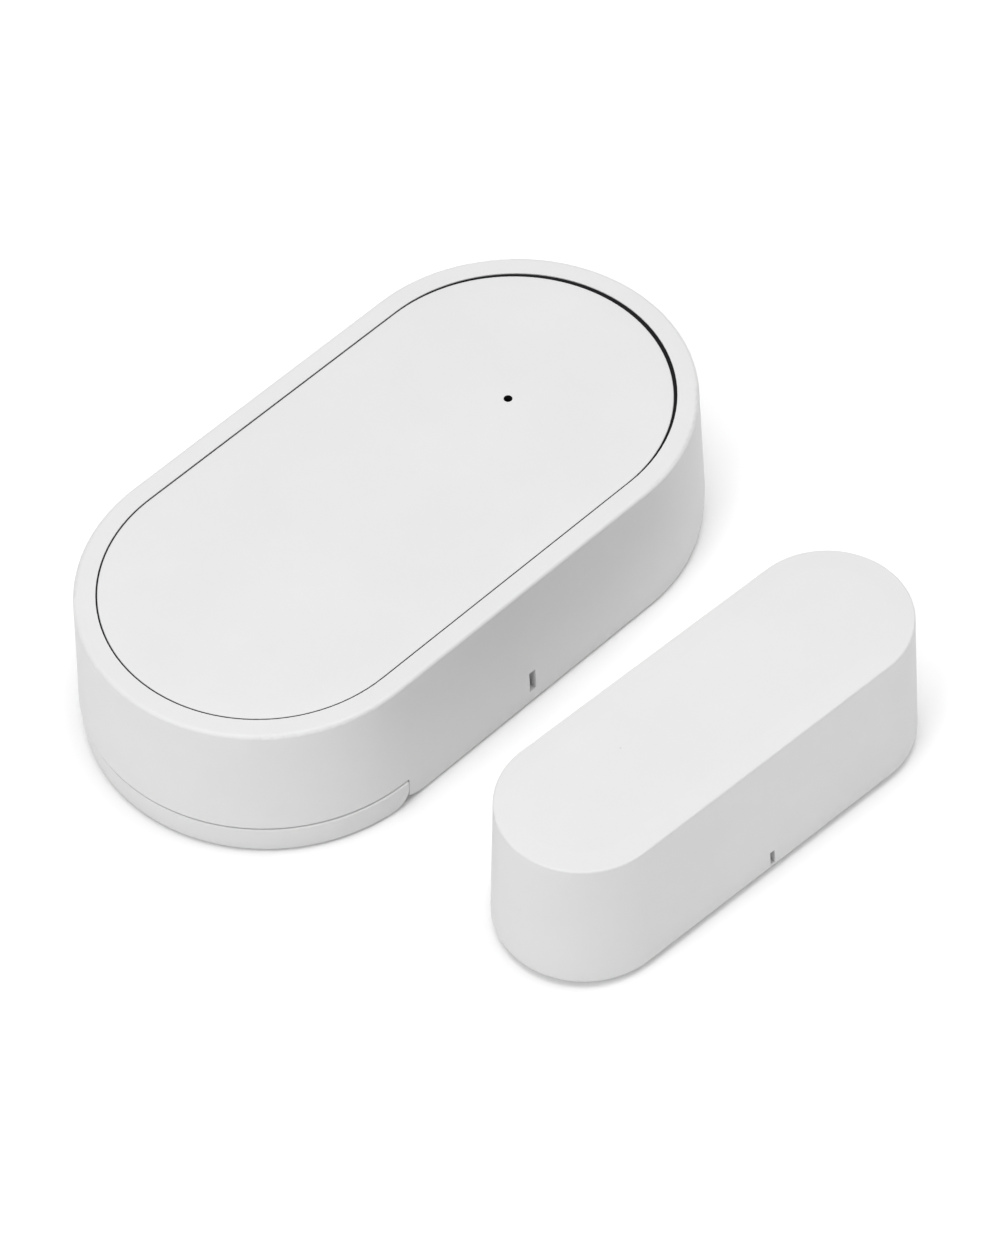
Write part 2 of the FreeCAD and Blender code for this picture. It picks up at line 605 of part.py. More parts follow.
def contact_spring(name, x, y, toward):
    """Coil spring of round wire that stands on a contact plate and points along X."""
    body = new_body(name)
    wire = sketch(body, name + "_wire", "XZ_Plane", 0)
    lift = D["spring_wire_rad"] + 0.02
    wire.addGeometry(Part.Circle(Vector(D["spring_rad"].value, lift.value, 0), Vector(0, 0, 1),
                                 D["spring_wire_rad"].value), False)
    size(wire, "Radius", 0, D["spring_wire_rad"])
    place_point(wire, 0, 3, D["spring_rad"], lift)
    rise = D["spring_len"] - 2 * lift
    coil = feature(body, "AdditiveHelix", name + "_coil", wire)
    coil.ReferenceAxis = (wire, ["V_Axis"])
    coil.Mode = "pitch-height-angle"
    bind(coil, Pitch=rise / D["spring_turns"], Height=rise)
    return move(body, x, y, D["cell_z"], Vector(0, 1, 0), 90 * toward)


keep(contact_spring("spring_near", near_plate_x + D["contact_thick"], D["cell_y"], 1),
     "spring_near")
keep(contact_spring("spring_far", far_plate_x, -D["cell_y"], -1), "spring_far")


def dry_cell(name, end_x, y, toward):
    """AAA cell whose positive cap touches the plate at end_x; toward is the cap's direction."""
    def lie(label, start, radius, length):
        """Cylinder measured back from the cap's tip."""
        first = end_x - start - length if toward > 0 else end_x + start
        return rod(name + label, first, y, D["cell_z"], radius, length)

    keep(lie("_cap_rod", Dim.of(0), D["cap_rad"], D["cap_len"]), name + "_cap")
    can = lie("_can_rod", D["cap_len"], D["can_rad"], D["can_len"])
    keep(can, name + "_can")
    wrap_len = D["can_len"] - D["wrap_setback"] * 2
    wrap_start = D["cap_len"] + D["wrap_setback"]
    keep(cut(name + "_wrap_tube", lie("_wrap_out", wrap_start, D["wrap_rad"], wrap_len),
             [lie("_wrap_in", wrap_start, D["can_rad"], wrap_len)]), name + "_wrap")
    ring_start = D["cap_len"] - D["washer_thick"]
    keep(cut(name + "_ring", lie("_ring_out", ring_start, D["washer_out"], D["washer_thick"]),
             [lie("_ring_in", ring_start, D["washer_in"], D["washer_thick"])]), name + "_washer")


dry_cell("cell_a", far_plate_x, D["cell_y"], 1)
dry_cell("cell_b", near_plate_x + D["contact_thick"], -D["cell_y"], -1)

# ---- reed switch along the wall that faces the magnet ----
glass_tube = rod("glass_tube", -D["reed_half"], D["reed_y"], D["reed_z"], D["reed_rad"],
                 D["reed_half"] * 2)
keep(cut("reed_glass", glass_tube, [
    rod("glass_bore", -D["reed_bore_half"], D["reed_y"], D["reed_z"], D["reed_bore"],
        D["reed_bore_half"] * 2),
    rod("glass_seal", -D["reed_half"], D["reed_y"], D["reed_z"], D["lead_rad"],
        D["reed_half"] * 2)]), "reed_glass")
for name, end in (("reed_lead_a", -1), ("reed_lead_b", 1)):
    wire_len = D["lead_x"] - D["reed_bore_half"]
    wire_x = D["reed_bore_half"] if end > 0 else -D["lead_x"]
    blade_len = D["reed_bore_half"] + D["blade_overlap"]
    blade_mid = end * (blade_len / 2 - D["blade_overlap"])
    ball = doc.addObject("Part::Sphere", name + "_bend")
    bind(ball, Radius=D["lead_rad"])
    keep(fuse(name, [
        rod(name + "_wire", wire_x, D["reed_y"], D["reed_z"], D["lead_rad"], wire_len),
        post(name + "_leg", end * D["lead_x"], D["reed_y"], D["reed_z"], D["lead_rad"],
             D["board_z"] - D["reed_z"]),
        move(ball, end * D["lead_x"], D["reed_y"], D["reed_z"]),
        box(name + "_blade", blade_mid, D["reed_y"],
            D["reed_z"] + end * D["blade_offset"] - D["blade_thick"] / 2,
            blade_len, D["blade_width"], D["blade_thick"])]), name)

# ---- radio module and small parts hanging under the board ----
radio_z = D["board_z"] - D["radio_thick"]


def hang(name, x, y, ceiling, length, width, thick):
    """Box hanging from a ceiling height."""
    return box(name + "_box", x, y, ceiling - thick, length, width, thick)


keep(hang("radio_board", D["radio_x"], 0, D["board_z"], D["radio_len"], D["radio_width"],
          D["radio_thick"]), "radio_board")
keep(hang("radio_shield", D["radio_x"], D["shield_y"], radio_z, D["shield_len"],
          D["shield_width"], D["shield_thick"]), "radio_shield")
keep(hang("chip_antenna", D["radio_x"], D["antenna_y"], radio_z, D["antenna_len"],
          D["antenna_width"], D["antenna_thick"]), "chip_antenna")
keep(hang("timing_crystal", D["crystal_x"], D["strip_y"], D["board_z"], D["crystal_len"],
          D["crystal_width"], D["crystal_thick"]), "timing_crystal")
keep(rod("capacitor_can", D["capacitor_x"] - D["capacitor_len"] / 2, D["strip_y"],
         D["board_z"] - D["capacitor_rad"], D["capacitor_rad"], D["capacitor_len"]),
     "bulk_capacitor")

# ---- pairing button and tamper plunger, both pressed upwards ----
button_z = D["board_z"] - D["button_thick"]
keep(cut("pairing_switch", hang("switch", D["button_x"], D["strip_y"], D["board_z"],
                                D["button_len"], D["button_width"], D["button_thick"]),
         [post("switch_bore", D["button_x"], D["strip_y"], button_z, D["button_bore"],
               D["button_bore_depth"])]), "pairing_switch")
keep(post("button_post", D["button_x"], D["strip_y"], D["button_low"], D["button_rad"],
          D["button_high"] - D["button_low"]), "pairing_plunger")
guide_z = D["board_z"] - D["guide_len"]
keep(cut("tamper_guide", post("guide_post", D["tamper_x"], D["strip_y"], guide_z,
                              D["guide_rad"], D["guide_len"]),
         [post("guide_hole", D["tamper_x"], D["strip_y"], guide_z, D["guide_bore"],
               D["guide_len"])]), "tamper_guide")
keep(post("tamper_post", D["tamper_x"], D["strip_y"], D["tamper_low"], D["tamper_rad"],
          D["tamper_high"] - D["tamper_low"]), "tamper_plunger")


# ---- magnet unit ----
def seat_magnet_part(obj, name):
    """Move a part of the magnet unit from its own centre to its place beside the case."""
    keep(obj, name)
    obj.Placement = Placement(Vector(D["mag_x"].value, D["mag_y"].value, 0),
                              Rotation(Vector(0, 0, -1), D["mag_turn"].value))
    return bind(obj, Placement__Base__x=D["mag_x"], Placement__Base__y=D["mag_y"])


housing = new_body("housing_body")
mag_foot_rad = D["mag_rad"] + D["wall_slope"] * (D["mag_top"] - D["base_z"])
mag_shoulder = D["mag_top"] - D["mag_crown_drop"]
block = flared_block(housing, D["mag_half"], [
    (mag_foot_rad, D["base_z"]), (D["mag_rad"], mag_shoulder),
    (D["mag_rad"] - D["mag_crown_run"], D["mag_top"])])
soft_foot = fillet(housing, "housing_foot_round", block, D["mag_base_round"],
                   lambda edge: level(edge, D["base_z"]))
fillet(housing, "housing_top_round", soft_foot, D["mag_top_round"],
       lambda edge: level(edge, mag_shoulder))
pocket(housing, "housing_rebate",
       stadium(housing, "rebate_outline", D["base_z"], D["mag_half"], D["mag_rebate_rad"]),
       D["mag_back_thick"], upward=True)
mag_ceiling = D["mag_top"] - D["mag_roof"]
mag_back_top = D["base_z"] + D["mag_back_thick"]
pocket(housing, "housing_cavity",
       stadium(housing, "housing_cavity_outline", D["base_z"], D["mag_half"],
               D["mag_cavity_rad"]),
       mag_ceiling - D["base_z"], upward=True)
for sx in (1, -1):
    boss_x = sx * D["mag_screw_x"]
    pad(housing, "housing_boss", circle(housing, "housing_boss_circle", mag_back_top, boss_x, 0,
                                        D["mag_boss_rad"]), mag_ceiling - mag_back_top + 0.5)
    pocket(housing, "housing_pilot", circle(housing, "housing_pilot_circle", mag_back_top,
                                            boss_x, 0, D["pilot_rad"]),
           D["mag_screw_tip_z"] - mag_back_top + 0.5, upward=True)
seat_magnet_part(cut("magnet_housing", housing, [
    box("magnet_slot", D["slot_x"], -(D["mag_slot_floor_y"] + 1), D["mag_slot_low"],
        D["mag_slot_width"], 2, D["mag_slot_high"] - D["mag_slot_low"])]), "magnet_housing")

back = new_body("magnet_back_body")
pad(back, "back_slab", stadium(back, "back_outline", D["base_z"], D["mag_half"],
                               D["mag_back_rad"]), D["mag_back_thick"])
pocket(back, "back_pad_recess", outline(back, "back_pad_outline", "XY_Plane", D["base_z"], [
    (sx * (D["mag_pad_len"] / 2 + D["recess_play"]), sy * (D["mag_pad_width"] / 2 + D["recess_play"]))
    for sx, sy in ((-1, -1), (1, -1), (1, 1), (-1, 1))]),
    D["pad_thick"] - D["base_z"], upward=True)
for sx in (1, -1):
    pocket(back, "back_hole", circle(back, "back_hole_circle", mag_back_top,
                                     sx * D["mag_screw_x"], 0, D["clear_rad"]),
           D["mag_back_thick"])
    pocket(back, "back_sink", circle(back, "back_sink_circle", D["base_z"],
                                     sx * D["mag_screw_x"], 0, D["mag_screw_head_rad"] + 0.1),
           D["mag_screw_head_thick"] + 0.1, upward=True)
seat_magnet_part(back, "magnet_back")
for number, sx in ((1, 1), (2, -1)):
    seat_magnet_part(screw("magnet_screw_%d" % number, sx * D["mag_screw_x"], Dim.of(0),
                           D["base_z"] + 0.1, D["mag_screw_head_rad"],
                           D["mag_screw_head_thick"], D["mag_screw_tip_z"]),
                     "magnet_screw_%d" % number)
carrier_pocket = box("carrier_pocket", 0, 0, D["carrier_low"],
                     D["magnet_len"] + D["magnet_play"], D["magnet_width"] + D["magnet_play"],
                     D["magnet_high"] - D["carrier_low"])
seat_magnet_part(cut("magnet_carrier", box(
    "carrier_block", 0, 0, D["carrier_low"], D["carrier_half_len"] * 2,
    D["carrier_half_width"] * 2, mag_ceiling - D["carrier_low"]), [carrier_pocket]),
    "magnet_carrier")
seat_magnet_part(rounded_plate("bar_magnet_body", 0, 0, D["magnet_low"], D["magnet_len"],
                               D["magnet_width"], D["magnet_high"] - D["magnet_low"], 0.4),
                 "bar_magnet")
seat_magnet_part(rounded_plate("shim_body", 0, 0, mag_back_top, D["shim_len"], D["shim_width"],
                               D["magnet_low"] - mag_back_top, 0.6), "foam_shim")
seat_magnet_part(rounded_plate("magnet_pad_body", 0, 0, 0, D["mag_pad_len"],
                               D["mag_pad_width"], D["pad_thick"], D["mag_pad_corner"]),
                 "magnet_pad")

# ---- check and write ----
doc.recompute()
for obj in doc.Objects:
    assert not {"Invalid", "Error"} & set(obj.State), "%s: %s" % (obj.Name, obj.State)
for name, obj in nodes.items():
    shape = obj.Shape
    assert not shape.isNull() and shape.isValid() and shape.Volume > 0, name
    shape.exportStep("parts/%s.step" % name)
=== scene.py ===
import json
import math
import random

import bmesh
import bpy
from mathutils import Matrix, Vector


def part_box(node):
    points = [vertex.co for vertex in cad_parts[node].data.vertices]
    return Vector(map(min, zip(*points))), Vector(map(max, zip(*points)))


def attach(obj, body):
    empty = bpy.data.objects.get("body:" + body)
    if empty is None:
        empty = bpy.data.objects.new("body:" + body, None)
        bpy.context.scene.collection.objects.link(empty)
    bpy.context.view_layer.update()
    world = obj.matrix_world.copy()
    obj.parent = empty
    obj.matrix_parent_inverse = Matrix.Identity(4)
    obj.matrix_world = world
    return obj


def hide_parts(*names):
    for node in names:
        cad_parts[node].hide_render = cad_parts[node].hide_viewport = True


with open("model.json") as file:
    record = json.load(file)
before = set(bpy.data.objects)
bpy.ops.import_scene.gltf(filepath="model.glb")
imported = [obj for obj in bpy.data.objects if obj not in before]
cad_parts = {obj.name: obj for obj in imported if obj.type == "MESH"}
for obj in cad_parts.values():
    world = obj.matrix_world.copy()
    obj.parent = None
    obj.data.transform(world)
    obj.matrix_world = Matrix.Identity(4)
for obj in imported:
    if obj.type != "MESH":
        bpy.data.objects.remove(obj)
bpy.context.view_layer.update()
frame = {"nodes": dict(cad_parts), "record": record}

nodes = frame["nodes"]
MM = 0.001
random.seed(7)

MAGNET_TURN = math.radians(-2.6)   # the magnet unit stands slightly out of line
CORNER_STEPS = 8                   # mesh steps round a quarter circle
ROUND_STEPS = 48                   # mesh steps round a full circle
EDGE_STEPS = 4                     # mesh steps round a small rounded edge


# ---- mesh building, in millimetres ----

def extent(node):
    """Lowest and highest corner of a CAD node, in millimetres."""
    low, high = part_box(node)
    return low / MM, high / MM


def centre(node):
    low, high = extent(node)
    return (low + high) / 2


def full_turn(steps):
    """Evenly spaced angles round a full circle."""
    return [2 * math.pi * k / steps for k in range(steps)]


def circle(x, y, z, radius, steps):
    """Points of a level circle."""
    return [(x + radius * math.cos(turn), y + radius * math.sin(turn), z)
            for turn in full_turn(steps)]


class Shape:
    """Vertices and faces in millimetres; each face keeps the number of its material."""

    def __init__(self):
        self.verts, self.faces, self.paint = [], [], []

    def ring(self, points):
        start = len(self.verts)
        self.verts.extend(Vector(p) for p in points)
        return list(range(start, start + len(points)))

    def face(self, corners, paint=0):
        self.faces.append(corners)
        self.paint.append(paint)

    def bridge(self, a, b, paint=0):
        """Quads between two closed rings of the same length."""
        for i in range(len(a)):
            j = (i + 1) % len(a)
            self.face((a[i], a[j], b[j], b[i]), paint)

    def lathe(self, origin, axis, profile, paint=0, steps=ROUND_STEPS):
        """Turned form: profile is (distance along axis, radius) or (.., .., material number)."""
        axis = Vector(axis).normalized()
        side = axis.orthogonal().normalized()
        other = axis.cross(side)
        rings = []
        for along, radius, *_ in profile:
            middle = Vector(origin) + axis * along
            if radius == 0:
                rings.append(self.ring([middle]))
                continue
            rings.append(self.ring([
                middle + (side * math.cos(turn) + other * math.sin(turn)) * radius
                for turn in full_turn(steps)]))
        for number, (a, b) in enumerate(zip(rings, rings[1:])):
            colour = profile[number + 1][2] if len(profile[number + 1]) > 2 else paint
            if len(a) == len(b):
                self.bridge(a, b, colour)
                continue
            fan, tip = (a, b[0]) if len(a) > 1 else (b, a[0])
            for i in range(len(fan)):
                self.face((fan[i], fan[(i + 1) % len(fan)], tip), colour)
        return self

    def slab(self, outline, layers, paint=0, closed=True):
        """Stack of outlines: layers are (inset, z) or (inset, z, material), capped at both ends."""
        rings = [self.ring([(x, y, layer[1]) for x, y in outline(layer[0])]) for layer in layers]
        for number, (a, b) in enumerate(zip(rings, rings[1:])):
            colour = layers[number + 1][2] if len(layers[number + 1]) > 2 else paint
            self.bridge(a, b, colour)
        if closed:
            self.face(list(reversed(rings[0])), paint)
            self.face(rings[-1], paint)
        return rings

    def fill(self, outer, holes, paint=0):
        """Flat face between an outer ring and the rings of its holes, all at one height."""
        border = list(outer)
        edges = []
        for loop in (outer, *holes):
            start = 0 if loop is outer else len(border)
            if loop is not outer:
                border.extend(loop)
            edges += [(start + k, start + (k + 1) % len(loop)) for k in range(len(loop))]
        mesh = bpy.data.meshes.new("flat_face")
        mesh.from_pydata([self.verts[v] for v in border], edges, [])
        field = bmesh.new()
        field.from_mesh(mesh)
        bmesh.ops.triangle_fill(field, use_beauty=True, use_dissolve=False,
                                edges=field.edges[:], normal=(0, 0, 1))
        field.verts.index_update()
        for face in field.faces:
            self.face([border[vert.index] for vert in face.verts], paint)
        field.free()
        bpy.data.meshes.remove(mesh)

    def tube(self, path, radius, sides=12, paint=0):
        """Round wire along a list of points."""
        path = [Vector(p) for p in path]
        rings, normal = [], None
        for i, point in enumerate(path):
            ahead = (path[min(i + 1, len(path) - 1)] - path[max(i - 1, 0)]).normalized()
            normal = ahead.orthogonal() if normal is None else normal
            normal = (normal - ahead * normal.dot(ahead)).normalized()
            other = ahead.cross(normal)
            rings.append(self.ring([
                point + (normal * math.cos(turn) + other * math.sin(turn)) * radius
                for turn in full_turn(sides)]))
        for a, b in zip(rings, rings[1:]):
            self.bridge(a, b, paint)
        self.face(list(reversed(rings[0])), paint)
        self.face(rings[-1], paint)
        return self


def rounded(x, y, half_x, half_y, corner, turn=0.0, spread=1):
    """Outline of a rounded rectangle round (x, y); the result takes an inset.

    spread is the number of pieces that each straight side is divided into.
    """
    def outline(inset):
        r = max(corner - inset, 0.02)
        arc_step = r * math.pi / 2 / CORNER_STEPS
        cx, cy = half_x - inset - r, half_y - inset - r
        points = []
        for quarter, (sx, sy) in enumerate(((1, 1), (-1, 1), (-1, -1), (1, -1))):
            for step in range(CORNER_STEPS + 1):
                a = math.radians(90 * (quarter + step / CORNER_STEPS))
                points.append(Vector((sx * cx + r * math.cos(a), sy * cy + r * math.sin(a))))
        if spread > 1:
            dense = []
            for p, q in zip(points, points[1:] + points[:1]):
                pieces = spread if (q - p).length > 3 * arc_step else 1
                dense.extend(p.lerp(q, k / pieces) for k in range(pieces))
            points = dense
        c, s = math.cos(turn), math.sin(turn)
        return [(x + c * p.x - s * p.y, y + s * p.x + c * p.y) for p in points]
    return outline


def edge_layers(low, high, radius):
    """Layers of a block with rounded lower and upper edges."""
    arc = [math.pi / 2 * k / EDGE_STEPS for k in range(EDGE_STEPS + 1)]
    lower = [(radius * (1 - math.sin(a)), low + radius * (1 - math.cos(a))) for a in arc]
    return lower + [(inset, high + low - z) for inset, z in reversed(lower)]


def build(name, shape, materials, body, slot, *replaced, crease=40):
    """Turn a Shape into a piece that rides on a body and stands for CAD nodes."""
    mesh = bpy.data.meshes.new(name)
    mesh.from_pydata([v * MM for v in shape.verts], [], shape.faces)
    for material in materials:
        mesh.materials.append(material)
    mesh.polygons.foreach_set("material_index", shape.paint)
    work = bmesh.new()
    work.from_mesh(mesh)
    bmesh.ops.recalc_face_normals(work, faces=work.faces)
    work.to_mesh(mesh)
    work.free()
    mesh.shade_smooth()
    mesh.set_sharp_from_angle(angle=math.radians(crease))
    piece = bpy.data.objects.new(name, mesh)
    bpy.context.collection.objects.link(piece)
    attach(piece, body)
    if replaced:
        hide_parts(*replaced)
    return piece


# ---- materials ----

class Graph:
    """Small helper that builds one material's node tree."""

    def __init__(self, name, **sockets):
        self.material = bpy.data.materials.new(name)
        self.material.use_nodes = True
        self.tree = self.material.node_tree
        self.shader = self.tree.nodes["Principled BSDF"]
        self.place = self.add("ShaderNodeTexCoord").outputs["Object"]
        self.feed(self.shader, sockets)

    def feed(self, node, sockets):
        for key, value in sockets.items():
            socket = node.inputs[key if isinstance(key, int) else key.replace("_", " ")]
            if isinstance(value, bpy.types.NodeSocket):
                self.tree.links.new(value, socket)
            elif isinstance(value, tuple) and len(value) == 3 and len(socket.default_value) == 4:
                socket.default_value = (*value, 1)
            else:
                socket.default_value = value

    def add(self, kind, sockets=None, **properties):
        node = self.tree.nodes.new(kind)
        for key, value in properties.items():
            setattr(node, key, value)
        self.feed(node, sockets or {})
        return node

    def noise(self, scale, detail=2.0, roughness=0.5, place=None):
        """Noise with its grain given in waves per metre."""
        return self.add("ShaderNodeTexNoise", {
            "Vector": place or self.place, "Scale": scale, "Detail": detail,
            "Roughness": roughness}).outputs["Fac"]

    def stretch(self, x, y, z):
        """Object coordinates scaled unevenly, for brushed or drawn surfaces."""
        return self.add("ShaderNodeMapping", {"Vector": self.place,
                                              "Scale": (x, y, z)}).outputs["Vector"]

    def cells(self, scale, feature="F1"):
        return self.add("ShaderNodeTexVoronoi", {"Vector": self.place, "Scale": scale},
                        feature=feature)

    def remap(self, value, low, high, out_low, out_high):
        return self.add("ShaderNodeMapRange", {
            "Value": value, "From Min": low, "From Max": high,
            "To Min": out_low, "To Max": out_high}).outputs["Result"]

    def math(self, operation, a, b):
        return self.add("ShaderNodeMath", {0: a, 1: b}, operation=operation).outputs[0]

    def mix(self, factor, a, b):
        node = self.add("ShaderNodeMix", data_type="RGBA")
        self.feed(node, {0: factor, 6: a, 7: b})
        return node.outputs[2]

    def bump(self, height, depth, strength=1.0, below=None):
        """Bump of a height field; depth is in metres."""
        sockets = {"Height": height, "Distance": depth, "Strength": strength}
        if below is not None:
            sockets["Normal"] = below
        return self.add("ShaderNodeBump", sockets).outputs["Normal"]

    def specks(self, scale, size, share):
        """Mask of sparse small dots: size is their radius, share how many cells hold one."""
        found = self.cells(scale)
        dot = self.remap(found.outputs["Distance"], size * scale, size * scale * 0.6, 0.0, 1.0)
        lottery = self.add("ShaderNodeSeparateColor", {"Color": found.outputs["Color"]})
        chosen = self.math("LESS_THAN", lottery.outputs[0], share)
        return self.math("MULTIPLY", dot, chosen)


def shade(colour, factor):
    return tuple(channel * factor for channel in colour)


def moulded(name, colour, roughness=0.42, grain=1.0, wear=0.5, shine=0.5):
    """Injection-moulded plastic: spark-eroded grain, slow mottling, faint rub marks and dust."""
    g = Graph(name, IOR=1.5, Specular_IOR_Level=shine)
    mottle = g.noise(70, 4, 0.6)
    cloud = g.noise(420, 3, 0.55)
    tone = g.mix(g.remap(mottle, 0.3, 0.7, 0, 1), shade(colour, 0.975), shade(colour, 1.012))
    tone = g.mix(g.remap(cloud, 0.35, 0.75, 0, 0.5), tone, shade(colour, 0.985))
    rub = g.remap(g.noise(1, 5, 0.7, g.stretch(900, 140, 500)), 0.66, 0.78, 0, 0.35 * wear)
    tone = g.mix(rub, tone, shade(colour, 0.93))
    tone = g.mix(g.math("MULTIPLY", g.specks(260, 0.00011, 0.05), wear), tone,
                 shade(colour, 0.62))
    edge = g.add("ShaderNodeBevel", {"Radius": 0.00025}, samples=4).outputs["Normal"]
    facing = g.add("ShaderNodeVectorMath", {0: edge, 1: g.add(
        "ShaderNodeNewGeometry").outputs["Normal"]}, operation="DOT_PRODUCT").outputs["Value"]
    worn = g.math("MULTIPLY", g.remap(facing, 0.995, 0.9, 0, 0.7 * wear),
                  g.remap(g.noise(600, 3), 0.45, 0.65, 0, 1))
    tone = g.mix(worn, tone, shade(colour, 1.06))
    grit = g.add("ShaderNodeMapRange", {
        "Value": g.noise(7500, 3, 0.6), "From Min": 0.3, "From Max": 0.7,
        "To Min": roughness - 0.05, "To Max": roughness + 0.07}).outputs["Result"]
    waves = g.bump(g.noise(160, 2, 0.4), 0.00003, 0.35)
    skin = g.bump(g.noise(6200, 3, 0.65), 0.000012 * grain, 0.6, waves)
    g.feed(g.shader, {"Base Color": tone, "Roughness": g.math("SUBTRACT", grit, worn),
                      "Normal": skin})
    return g.material


def metal(name, colour, roughness=0.3, along=(1, 1, 1), tarnish=0.12):
    """Metal with fine directional lines, cloudy tarnish and small scratches."""
    g = Graph(name, Metallic=1.0)
    lines = g.noise(1, 4, 0.7, g.stretch(*(9000 / a for a in along)))
    cloud = g.noise(350, 4, 0.6)
    tone = g.mix(g.remap(cloud, 0.35, 0.7, 0, 1), colour, shade(colour, 1 - tarnish))
    tone = g.mix(g.remap(lines, 0.3, 0.7, 0, 0.4), tone, shade(colour, 0.85))
    scratch = g.cells(500, "DISTANCE_TO_EDGE").outputs["Distance"]
    cut = g.remap(scratch, 0.0, 0.012, 0.3, 0.0)
    tone = g.mix(cut, tone, shade(colour, 0.7))
    g.feed(g.shader, {
        "Base Color": tone,
        "Roughness": g.remap(g.math("ADD", lines, cloud), 0.7, 1.3, roughness - 0.08,
                             roughness + 0.12),
        "Normal": g.bump(lines, 0.00001, 0.5, g.bump(cloud, 0.00004, 0.2))})
    return g.material


def film(name, colour, roughness=0.22):
    """Shrink film or lacquer: glossy coat over a slightly wrinkled coloured skin."""
    g = Graph(name, Coat_Weight=0.6, Coat_Roughness=0.1, IOR=1.5)
    wrinkle = g.noise(1, 3, 0.55, g.stretch(160, 900, 900))
    speckle = g.noise(2400, 3)
    tone = g.mix(g.remap(speckle, 0.3, 0.7, 0, 1), shade(colour, 0.9), shade(colour, 1.08))
    tone = g.mix(g.specks(420, 0.00012, 0.06), tone, shade(colour, 0.55))
    g.feed(g.shader, {"Base Color": tone,
                      "Roughness": g.remap(speckle, 0.3, 0.7, roughness, roughness + 0.1),
                      "Normal": g.bump(wrinkle, 0.00008, 0.35)})
    return g.material


def foam(name, colour, pore=0.00025):
    """Closed-cell foam: pores in two sizes, dull and slightly uneven in colour."""
    g = Graph(name, Sheen_Weight=0.15, Sheen_Roughness=0.6)
    coarse = g.cells(0.6 / pore).outputs["Distance"]
    fine = g.cells(1.7 / pore).outputs["Distance"]
    depth = g.math("ADD", coarse, g.math("MULTIPLY", fine, 0.4))
    tone = g.mix(g.remap(depth, 0.2, 0.9, 0, 1), shade(colour, 1.05), shade(colour, 0.72))
    tone = g.mix(g.remap(g.noise(120, 4), 0.35, 0.7, 0, 0.5), tone, shade(colour, 0.88))
    g.feed(g.shader, {"Base Color": tone,
                      "Roughness": g.remap(fine, 0.0, 0.8, 0.75, 0.95),
                      "Normal": g.bump(depth, pore * 0.6, 0.9)})
    return g.material


def laminate(name, mask_colour, track_colour, edge_colour):
    """Circuit board: solder mask over raised tracks, tinned vias, raw glass-fibre edges."""
    g = Graph(name, Coat_Weight=0.35, Coat_Roughness=0.25)
    tracks = None
    for turn, rows in ((0.0, 620.0), (math.pi / 2, 430.0)):
        way = g.add("ShaderNodeMapping", {"Vector": g.place, "Rotation": (0, 0, turn)})
        brick = g.add("ShaderNodeTexBrick", {
            "Vector": way.outputs["Vector"], "Scale": rows, "Mortar Size": 0.06,
            "Brick Width": 3.2, "Row Height": 0.9}, offset=0.37)
        line = brick.outputs["Fac"]
        tracks = line if tracks is None else g.math("MAXIMUM", tracks, line)
    via = g.specks(520, 0.00028, 0.16)
    weave = g.noise(3200, 2)
    tone = g.mix(g.remap(weave, 0.3, 0.7, 0, 1), shade(mask_colour, 0.85),
                 shade(mask_colour, 1.12))
    tone = g.mix(tracks, tone, track_colour)
    tone = g.mix(via, tone, (0.75, 0.62, 0.30))
    facing = g.add("ShaderNodeSeparateXYZ", {0: g.add(
        "ShaderNodeNewGeometry").outputs["Normal"]}).outputs["Z"]
    side = g.remap(g.math("ABSOLUTE", facing, 0.0), 0.5, 0.4, 0, 1)
    tone = g.mix(side, tone, edge_colour)
    g.feed(g.shader, {"Base Color": tone, "Metallic": via,
                      "Roughness": g.remap(weave, 0.3, 0.7, 0.3, 0.45),
                      "Normal": g.bump(g.math("ADD", tracks, g.math("MULTIPLY", weave, 0.15)),
                                       0.00004, 0.5)})
    return g.material


def stone(name, colour, grain_scale, roughness, contrast):
    """Sintered ferrite or ceramic: grainy, finely pitted, with scuffed patches."""
    g = Graph(name)
    grain = g.noise(grain_scale, 4, 0.7)
    patch = g.noise(200, 3)
    tone = g.mix(g.remap(grain, 0.3, 0.7, 0, 1), shade(colour, 1 - contrast),
                 shade(colour, 1 + contrast))
    tone = g.mix(g.remap(patch, 0.5, 0.75, 0, 0.4), tone, shade(colour, 1.3))
    g.feed(g.shader, {"Base Color": tone,
                      "Roughness": g.remap(patch, 0.3, 0.7, roughness, roughness + 0.2),
                      "Normal": g.bump(grain, 0.00003, 0.7)})
    return g.material


def clear(name, colour, roughness, ior):
    """Glass or clear plastic with faint ripples and flow marks."""
    g = Graph(name, Transmission_Weight=0.92, IOR=ior)
    ripple = g.noise(1, 2, 0.5, g.stretch(300, 1500, 1500))
    tone = g.mix(g.remap(ripple, 0.3, 0.7, 0, 1), colour, shade(colour, 0.9))
    g.feed(g.shader, {"Base Color": tone,
                      "Roughness": g.remap(ripple, 0.3, 0.7, roughness, roughness + 0.06),
                      "Normal": g.bump(ripple, 0.00003, 0.3)})
    return g.material


